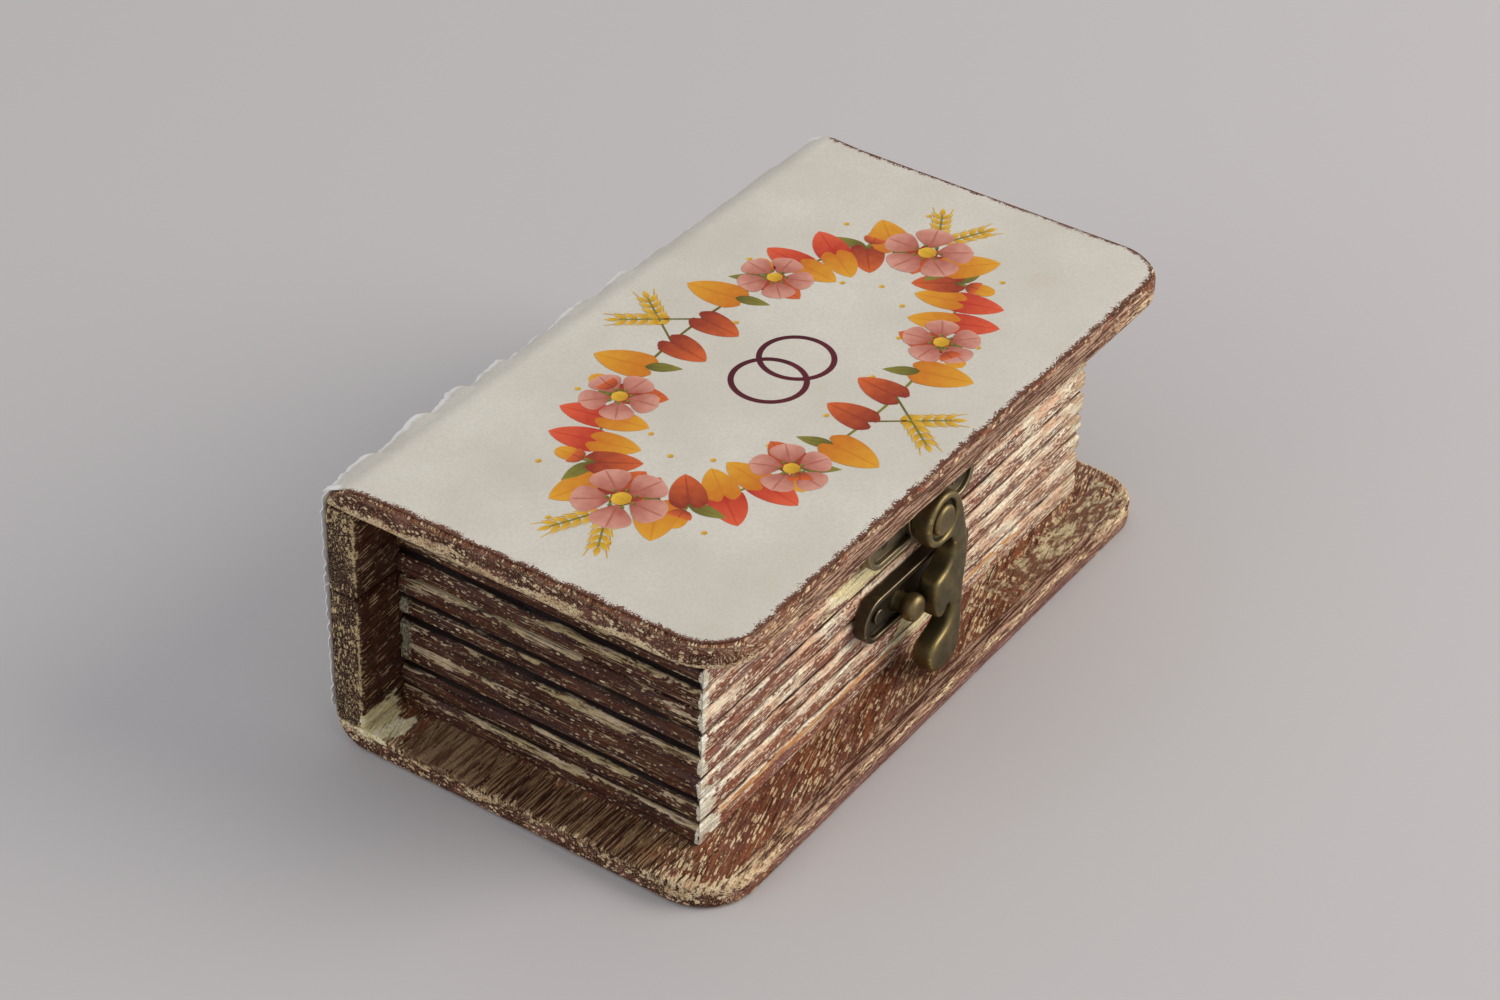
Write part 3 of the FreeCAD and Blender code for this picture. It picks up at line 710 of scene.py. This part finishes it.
def page_wall(name, node_name, body, layers, outward, groove, material):
    """A page wall: a bar sawn into layers on its outer face and mitred at the fore-edge.

    Half of the narrower cut lies at the seam.
    """
    half = groove[0] / 2 * MM
    depth = groove[1] * MM
    low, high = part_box(node_name)
    piece = solid_box(name, low, high)
    edit(piece)
    pitch = (high.z - low.z) / layers
    cuts = []
    for i in range(1, layers):
        stray = chance.uniform(-cut_stray, cut_stray) * MM
        cuts.append((low.z + i * pitch + stray, half, depth * chance.uniform(*cut_shares)))
    cuts.append((high.z if body == "base" else low.z, seam_cut * half, seam_cut * depth))
    axis = 1 if outward.y else 0
    outer = low[axis] if outward[axis] < 0 else high[axis]
    for z, half_cut, inward in cuts:
        for level in (z - half_cut, z, z + half_cut):
            if low.z < level < high.z:
                score((0, 0, level), (0, 0, 1))
        pick(piece, "verts", lambda p: near(p.z, z) and near(p[axis], outer))
        bpy.ops.transform.translate(value=outward * -inward)
    for side in (-1, 1) if axis == 1 else (int(outward.x),):
        away = Vector((side, 1, 0)).normalized() * (1 if axis == 1 else -1)
        slice_off(Vector((side * pages_x, pages_y, 0)) + away * mitre_lap * MM, away)
    weather(piece, wall_voxel)

    # Each layer is worn below its upper rim. The last level is out of reach, for what has no rim above it.
    rims = sorted(z - half_cut for z, half_cut, inward in cuts if z > low.z)
    rims.append(high.z + 9 * MM)

    def below_rim(point):
        if abs(point[axis] - outer) > 1.4 * depth:
            return rims[-1]
        return next(rim - point.z for rim in rims if rim + half > point.z)

    note_edges(piece, below_rim)
    place_piece(piece, body, "distressed_wood", material, node_name)


cover_board("bottom_board", "bottom_cover", "base", bottom_high.z, 1)
cover_board("top_board", "top_cover", "lid", top_low.z, -1)
spine_board("base_spine_board", "base_spine", "base", base_spine_low.z, base_spine_high.z)
spine_board("lid_spine_board", "lid_spine", "lid", lid_spine_low.z, lid_spine_high.z)
for body, layers in (("base", base_layers), ("lid", lid_layers)):
    front = Vector((0, -1, 0))
    page_wall(body + "_fore_edge", body + "_front_pages", body, layers, front, front_groove, front_paint)
    for name, side in (("left", -1), ("right", 1)):
        wall = body + "_" + name
        outward = Vector((side, 0, 0))
        page_wall(wall + "_edge", wall + "_pages", body, layers, outward, end_groove, shaded_end_paints[side])


# Paper

def wrap(s, lift):
    """Depth and height of a point on the sheet's path, in metres.

    s runs back over the top, round the spine's edge and down, and is 0 where the round begins. lift is how
    far the point stands off the wood.
    """
    radius = spine_round * MM
    start_y = spine_back - radius
    quarter = radius * math.pi / 2
    if s < 0:
        return start_y + s, top_z + lift
    if s < quarter:
        turn = s / radius
        return start_y + (radius + lift) * math.sin(turn), top_z - radius + (radius + lift) * math.cos(turn)
    return spine_back + lift, top_z - radius - (s - quarter)


def ripple(x, size, seed):
    """Smooth unevenness between -1 and 1 along x, with bumps of one size in millimetres."""
    return noise.noise(Vector((x / (size * MM), seed, 0.37 * seed)))


def tear(x, seed):
    """How far a torn edge strays at x, in metres: long bites, short ones and loose fibres."""
    bites = 1.0 * ripple(x, 9.0, seed) + 0.6 * ripple(x, 2.6, seed + 3)
    return (bites + 0.35 * ripple(x, 0.9, seed + 7)) * MM


def flake(x, seed):
    """How far a torn edge stands off at x, in millimetres: overlapping flakes, each proud towards one end."""
    run = x / (flake_length * MM) + 0.4 * ripple(x, 23.0, seed)
    height = 0.7 + 1.2 * random.Random(math.floor(run) * 31 + seed).random()
    along = run - math.floor(run)
    return height * min(1.0, 0.3 + along) * min(1.0, 0.25 + (1 - along) / 0.15) + 0.35 * ripple(x, 1.0, seed)


def end_curl(s, from_end, seed):
    """How far the sheet's end stands off where it goes over the spine, in millimetres."""
    curl = max(0.0, 1 - from_end / (curl_width * MM)) ** 2 * min(1.0, max(0.0, s / (4 * MM) - 0.5))
    return max(0.0, min(most_curl, curl * (0.3 + 0.7 * ripple(s, 1.3, seed + 11))))


def sheet_grid(name, rows, reach, stray, loose, seed):
    """A sheet laid over the box from a flat grid.

    rows are its stops along the path, reach(s) its half width there. stray(x) moves its last, torn rows, and
    loose(x) is how far they stand off in flakes. Only a sheet that begins on the cover has a painted rim.
    Each point keeps its distance in millimetres to the tear and to the painted rim, for the paper's finish.
    """
    last = len(rows) - 1
    on_cover = rows[0] < 0
    piece = flat_grid(name, round(2 * reach(rows[-1]) / (paper_column * MM)), last)
    torn, rim = [], []
    for vertex in piece.data.vertices:
        row = round((vertex.co.y + 0.5) * last)
        s = rows[row]
        x = 2 * vertex.co.x * reach(s)
        share = max(0.0, 1 - (last - row) / torn_rows)
        from_end = reach(s) - abs(x)
        s += share * stray(x)
        from_front = s - rows[0]
        stand = share ** 1.5 * max(0.0, flake(x, seed)) * loose(x) + end_curl(s, from_end, seed)
        wave = paper_wave * noise.noise(Vector((x, s, 0)) / (wave_length * MM))
        sag = front_sag * max(0.0, 1 - from_front / MM) if on_cover else 0.0
        y, z = wrap(s, (paper_lift + min(stand, most_stand) + wave - sag) * MM)
        torn.append(min(rows[-1] + stray(x) - s, from_end if s > 2 * MM else 1) / MM)
        rim.append((min(from_end, from_front) if on_cover else 1) / MM + max(0.0, s / MM - 0.5))
        frayed = from_end < 0.1 * MM and s > 0
        vertex.co = (x + (fray * MM * ripple(s, 1.1, seed + x) if frayed else 0), y, z)
    for key, values in (("torn", torn), ("rim", rim)):
        piece.data.attributes.new(key, "FLOAT", "POINT").data.foreach_set("value", values)
    return piece


def notch_for_hinges(piece):
    """Cut the sheet away round the hinge barrels."""
    edit(piece)
    for side in ("left", "right"):
        low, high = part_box("hinge_pin_" + side)
        middle = (low + high) / 2
        half = high.x - middle.x + notch_end * MM
        pick(piece, "faces", lambda p: near(p.x, middle.x, half) and near(p.z, seam_z, notch_half * MM))
        bpy.ops.mesh.delete(type="FACE")
    focus(piece)


def finish_sheet(piece, body, *nodes):
    """Give a sheet its thickness and its finish."""
    finish_modifier(piece, "SOLIDIFY", thickness=paper_thickness * MM, offset=1.0)
    focus(piece)
    bpy.ops.object.shade_smooth_by_angle(angle=math.radians(40))
    place_piece(piece, body, "cover_paper", paper, *nodes)


def spaced(start, stop, step):
    """Even stops from start to stop, about step apart."""
    count = max(1, round(abs(stop - start) / step))
    return [start + (stop - start) * i / count for i in range(count + 1)]


def cover_sheet():
    """The sheet on the top cover, torn where it rolls over the spine."""
    corner = (cover_corner - paper_border) * MM
    first = front_y + paper_border * MM - (spine_back - spine_round * MM)
    last = math.radians(tear_angle) * spine_round * MM
    wide = half_length - paper_border * MM
    wider = half_length - paper_end * MM

    def reach(s):
        inward = min(corner, s - first)
        narrowed = corner - math.sqrt(max(0.0, corner**2 - (corner - inward) ** 2))
        spread = min(1.0, max(0.0, s / (5 * MM) + 1))
        return wide + (wider - wide) * spread - narrowed

    def loose(x):
        fade = min(1.0, max(0.35, 0.8 - x / (70 * MM)))
        return fade * min(1.0, max(0.1, (half_length - x) / (10 * MM)))

    turns = [math.radians(90 * i / corner_rows) for i in range(corner_rows + 1)]
    rows = [first + corner * (1 - math.cos(turn)) for turn in turns]
    rows += spaced(rows[-1], 0, flat_row * MM)[1:]
    rows += spaced(0, last, fine_row * MM)[1:]
    piece = sheet_grid("cover_sheet", rows, reach, lambda x: tear(x, 2.0), loose, 5)
    finish_sheet(piece, "lid", "cover_paper")


def spine_sheets():
    """The sheet down the spine, parted at the seam and torn at its foot."""
    quarter = spine_round * MM * math.pi / 2
    level = quarter + top_z - spine_round * MM
    lid_rows = spaced(under_tear * MM, quarter, round_row * MM)
    lid_rows += spaced(quarter, level - lid_spine_low.z, fine_row * MM)[1:]
    base_rows = spaced(level - base_spine_high.z, level - paper_low * MM, fine_row * MM)
    for name, body, rows, stray in (
        ("lid_spine_sheet", "lid", lid_rows, lambda x: 0.0),
        ("base_spine_sheet", "base", base_rows, lambda x: tear(x, 9.0)),
    ):
        piece = sheet_grid(name, rows, lambda s: half_length - paper_end * MM, stray, lambda x: 0.15, 14)
        notch_for_hinges(piece)
        finish_sheet(piece, body, "cover_paper" if body == "lid" else "spine_paper")


cover_sheet()
spine_sheets()


# Print on the cover: an oval wreath of blossoms, heart leaves, wheat and acorns about two rings.
# Its sizes are in millimetres. Each stamp lies a little higher than those that it covers.

ink_colours = {
    "amber": ("#c9731a", "#e0a12c"),
    "rust": ("#8f3320", "#d5642f"),
    "olive": ("#5d561f", "#8d8536"),
    "rose": ("#a5503f", "#d79a88"),
    "gold": ("#c08a1d", "#e8bc3a"),
    "berry": ("#b5301f", "#e2603c"),
    "maroon": ("#4a1220", "#5f1c28"),
}
inks = {ink: printed_ink("printed_ink_" + ink, root, tip) for ink, (root, tip) in ink_colours.items()}
stamps = {ink: [] for ink in inks}
ink_thickness = 0.01
ink_step = 0.001
tier_levels = 13
print_level = top_z + (paper_lift + paper_wave + paper_thickness) * MM
wreath_middle = (0.0, -3.0)
wreath_radii = (36.0, 15.5)
leaf_places = 32
dot_places = 28


def ink_level(tier):
    """The height of the next stamp.

    Higher tiers cover lower ones, and in a tier no two neighbours share a level.
    """
    count = sum(len(pieces) for pieces in stamps.values())
    return print_level + (tier * tier_levels + count % tier_levels) * ink_step * MM


def stamp(ink, tier, at, turn, length, width, outline, bend=0.0):
    """Print one shape, drawn by its width along its length.

    Its root is at a place and its tip is turned from +Y.
    """
    piece = flat_grid("stamp", *((8, 12) if length > 3 else (4, 6)))
    lean = Matrix.Rotation(turn, 3, "Z")
    level = ink_level(tier)
    for vertex in piece.data.vertices:
        t = vertex.co.y + 0.5
        side = 2 * vertex.co.x
        across = side * outline(t) * width / 2 + bend * length * t * t
        lobe = 0.2 * (1 - t) ** 3 * math.sin(math.pi * abs(side) ** 0.8) if outline is heart else 0.0
        point = lean @ Vector((across, (t - lobe) * length, 0)) + Vector((*at, 0))
        vertex.co = point * MM + Vector((0, 0, level))
    stamps[ink].append(piece)


# Outlines: the share of a shape's width at a share of its length

def leaf(t):
    return math.sin(math.pi * t**0.75) ** 0.9 if 0 < t < 1 else 0.0


def heart(t):
    return max(0.0, 1 - t) ** 0.8 * (0.8 + 0.9 * t) * 1.15


def petal(t):
    return math.sin(math.pi * min(1.0, t**1.5)) ** 0.6 if 0 < t < 1 else 0.0


def disc(t):
    return 2 * math.sqrt(max(0.0, t - t * t))


def bowl(t):
    return math.sqrt(max(0.0, 1 - (1 - t) ** 2)) if t < 0.8 else 0.98


def line(t):
    return 1.0


def hoop(ink, centre, radii, width):
    """Print a thin oval line about a centre."""
    piece = flat_grid("stamp", 1, 120)
    level = ink_level(0)
    for vertex in piece.data.vertices:
        angle = (vertex.co.y + 0.5) * math.tau
        grown = -vertex.co.x * width
        x = centre[0] + (radii[0] + grown) * math.cos(angle)
        y = centre[1] + (radii[1] + grown) * math.sin(angle)
        vertex.co = Vector((x, y, 0)) * MM + Vector((0, 0, level))
    stamps[ink].append(piece)


def moved(at, turn, distance):
    """A place at a distance from another, in the direction of a turn from +Y."""
    return at[0] - distance * math.sin(turn), at[1] + distance * math.cos(turn)


def on_wreath(angle, wider=1.0, deeper=1.0):
    """A place on the wreath's stem, or on an oval that is wider or deeper than it."""
    x = wreath_middle[0] + wider * wreath_radii[0] * math.cos(angle)
    return x, wreath_middle[1] + deeper * wreath_radii[1] * math.sin(angle)


def blossom(at, size, turn, ink):
    """Five petals round a dotted eye."""
    for i in range(5):
        angle = turn + i * math.tau / 5
        stamp(ink, 1, moved(at, angle, 0.1 * size), angle, 0.42 * size, 0.44 * size, petal)
    stamp("gold", 2, (at[0], at[1] - 0.11 * size), 0.0, 0.22 * size, 0.22 * size, disc)
    for i in range(7):
        dot = moved(at, turn + i * math.tau / 7, 0.15 * size)
        stamp("olive", 2, (dot[0], dot[1] - 0.3), 0.0, 0.6, 0.6, disc)


def wheat(at, turn, length):
    """An ear of wheat on its stalk, with a beard."""
    stamp("olive", 0, at, turn, length * 0.95, 0.3, line)
    for i in range(5):
        for side in (-1, 1):
            on_stalk = moved(at, turn, length * (0.36 + 0.12 * i))
            root = moved(on_stalk, turn - side * math.pi / 2, 0.02 * length)
            stamp("gold", 0, root, turn - side * 0.5, 0.17 * length, 0.07 * length, leaf)
            tip = moved(root, turn - side * 0.5, 0.15 * length)
            stamp("gold", 0, tip, turn - side * 0.25, 1.6, 0.14, line)
    stamp("gold", 0, moved(at, turn, length * 0.92), turn, 0.17 * length, 0.07 * length, leaf)


def acorn(at, turn, size):
    """A nut with its cap towards the stalk."""
    stamp("olive", 0, at, turn, 0.35 * size, 0.12 * size, line)
    stamp("amber", 0, moved(at, turn, 0.4 * size), turn, 0.75 * size, 0.56 * size, disc)
    stamp("rust", 1, moved(at, turn, 0.3 * size), turn, 0.35 * size, 0.66 * size, bowl)


def sprig(kind, at, outward):
    """One of four pairs of leaves on the wreath, with wheat or an acorn on some."""
    inward = outward + math.pi
    lean = chance.uniform(-0.25, 0.25)
    if kind in (0, 7):
        wheat(at, outward + (-0.7 if kind == 0 else 0.7), 12.0)
        stamp("rust", 0, at, inward + lean, 6.4, 5.4, heart)
    elif kind in (1, 6):
        stamp("amber", 0, at, outward + lean, 7.4, 6.2, heart)
        stamp("olive", 0, at, inward + 0.5, 5.0, 2.1, leaf, 0.1)
    elif kind in (2, 5):
        stamp("olive", 0, at, outward + 0.6, 5.6, 2.2, leaf, -0.1)
        stamp("rust", 0, at, inward + lean, 6.2, 5.2, heart)
        acorn(at, outward - 0.5 + lean, 5.0)
    else:
        stamp("berry", 0, at, outward + lean, 6.6, 5.4, heart)
        stamp("amber", 0, at, inward + lean, 6.0, 5.0, heart)


def garland():
    """An oval wreath on a thin stem, alike about its middle, with dots beside it and two rings inside."""
    wide, deep = wreath_radii
    hoop("olive", wreath_middle, wreath_radii, 0.4)
    for i in range(leaf_places):
        angle = math.tau * (i + 0.5) / leaf_places
        outward = math.atan2(wide * math.sin(angle), deep * math.cos(angle)) - math.pi / 2
        sprig(i % 8, on_wreath(angle), outward)
    for i in range(6):
        angle = math.radians(60 * i)
        blossom(on_wreath(angle), 10.5 if i % 3 else 12.5, angle, "rose")
    for i in range(dot_places):
        ring = 1.32 if i % 2 else 0.72
        stamp("gold", 0, on_wreath(math.tau * i / dot_places, 0.96 * ring, ring), 0.0, 0.8, 0.8, disc)
    for side in (-1, 1):
        hoop("maroon", (wreath_middle[0] + side * 3.3, wreath_middle[1]), (5.0, 5.0), 0.8)


def finish_print():
    """Join the stamps of each ink and give them the ink's thickness."""
    for ink, pieces in stamps.items():
        clear_selection()
        for piece in pieces:
            piece.select_set(True)
        bpy.context.view_layer.objects.active = pieces[0]
        bpy.ops.object.join()
        joined = settle("print_" + ink)
        finish_modifier(joined, "SOLIDIFY", thickness=ink_thickness * MM, offset=1.0)
        place_piece(joined, "lid", "cover_paper", inks[ink])


garland()
finish_print()


# Metal

def cast_copy(name, node_name, body, material, voxel, softening, bend=0.0):
    """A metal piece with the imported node's form.

    Its edges are softened by tumbling, and its lower end may be bent forwards.
    """
    clear_selection()
    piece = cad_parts[node_name].copy()
    piece.data = piece.data.copy()
    piece.parent = None
    for key in list(piece.keys()):
        del piece[key]
    bpy.context.scene.collection.objects.link(piece)
    piece.name = name
    edit(piece)
    bpy.ops.mesh.select_all(action="SELECT")
    bpy.ops.mesh.remove_doubles(threshold=0.001 * MM)
    finish_modifier(piece, "REMESH", mode="VOXEL", voxel_size=voxel * MM, use_smooth_shade=True)
    finish_modifier(piece, "SMOOTH", factor=0.5, iterations=softening)
    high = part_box(node_name)[1].z
    for vertex in piece.data.vertices:
        share = min(1.0, max(0.0, (high - vertex.co.z - bend_start * MM) / (bend_length * MM)))
        vertex.co.y -= bend * MM * share * share * (3 - 2 * share)
    focus(piece)
    bpy.ops.object.shade_smooth()
    place_piece(piece, body, "aged_brass", material, node_name)


cast_copy("cast_hook", "swing_hook", "hook", clasp_brass, 0.14, 60, hook_bend)
cast_copy("cast_hasp_plate", "hasp_plate", "lid", hasp_brass_painted_lighter, 0.12, 10)
cast_copy("cast_catch_plate", "catch_plate", "base", plate_brass, 0.12, 10)
cast_copy("domed_rivet", "pivot_rivet", "lid", rivet_brass, 0.1, 30)
cast_copy("round_peg", "catch_peg", "base", rivet_brass, 0.1, 30)
cast_copy("hasp_nail_heads", "hasp_nails", "lid", plate_brass, 0.08, 12)
cast_copy("catch_nail_heads", "catch_nails", "base", plate_brass, 0.08, 12)
for name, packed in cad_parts.items():
    if "hinge" in name:
        packed.data.materials.clear()
        packed.data.materials.append(hinge_brass)


# Stage, camera and light

def add_camera():
    """The photograph's view, fitted to the edges of both covers, the page walls and the spine."""
    azimuth, elevation, roll = (math.radians(a) for a in (-56.852, 36.158, 2.037))
    target = Vector((-1.217, 0.626, 20.0)) * MM
    distance = 455.183 * MM
    level = Vector((math.sin(azimuth), -math.cos(azimuth), 0))
    back = level * math.cos(elevation) + Vector((0, 0, math.sin(elevation)))
    right = (-back).cross(Vector((0, 0, 1))).normalized()
    up = right.cross(-back)
    tilted_right = math.cos(roll) * right + math.sin(roll) * up
    tilted_up = math.cos(roll) * up - math.sin(roll) * right
    data = bpy.data.cameras.new("camera")
    data.sensor_width = 36.0
    data.sensor_fit = "HORIZONTAL"
    data.lens = 80.517
    data.clip_start = 0.01
    camera = bpy.data.objects.new("camera", data)
    bpy.context.scene.collection.objects.link(camera)
    turn = Matrix((tilted_right, tilted_up, back)).transposed().to_4x4()
    camera.matrix_world = Matrix.Translation(target + back * distance) @ turn
    bpy.context.scene.camera = camera


def add_lamp(name, place, size, watts, tint):
    """A round soft lamp, aimed at the middle of the box."""
    data = bpy.data.lights.new(name, "AREA")
    data.shape = "DISK"
    data.size = size
    data.energy = watts
    data.color = colour(tint)[:3]
    lamp = bpy.data.objects.new(name, data)
    bpy.context.scene.collection.objects.link(lamp)
    lamp.location = place
    aim = Vector((0, 0, 20 * MM))
    lamp.rotation_euler = (aim - Vector(place)).to_track_quat("-Z", "Y").to_euler()


def add_stage():
    """A pale floor in a soft, even room."""
    clear_selection()
    bpy.ops.mesh.primitive_plane_add(size=6.0)
    floor = settle("floor")
    pale = new_material("pale_matte_floor")
    floor.data.materials.append(surface(pale, Base_Color=colour("#c4c0c0"), Roughness=0.85))
    world = bpy.data.worlds.new("soft_room")
    bpy.context.scene.world = world
    world.use_nodes = True
    world.node_tree.nodes.clear()
    room = node(world, "Background", {"Color": colour("#eef0f4"), "Strength": 0.64})
    node(world, "OutputWorld", {"Surface": room})


add_stage()
add_camera()
add_lamp("window", (0.55, -0.85, 0.6), 0.9, 9.6, "#fff8ee")
add_lamp("pale_wall", (-0.9, 0.35, 0.45), 0.7, 1.6, "#f4f6fa")
bpy.context.scene.view_settings.view_transform = "Standard"
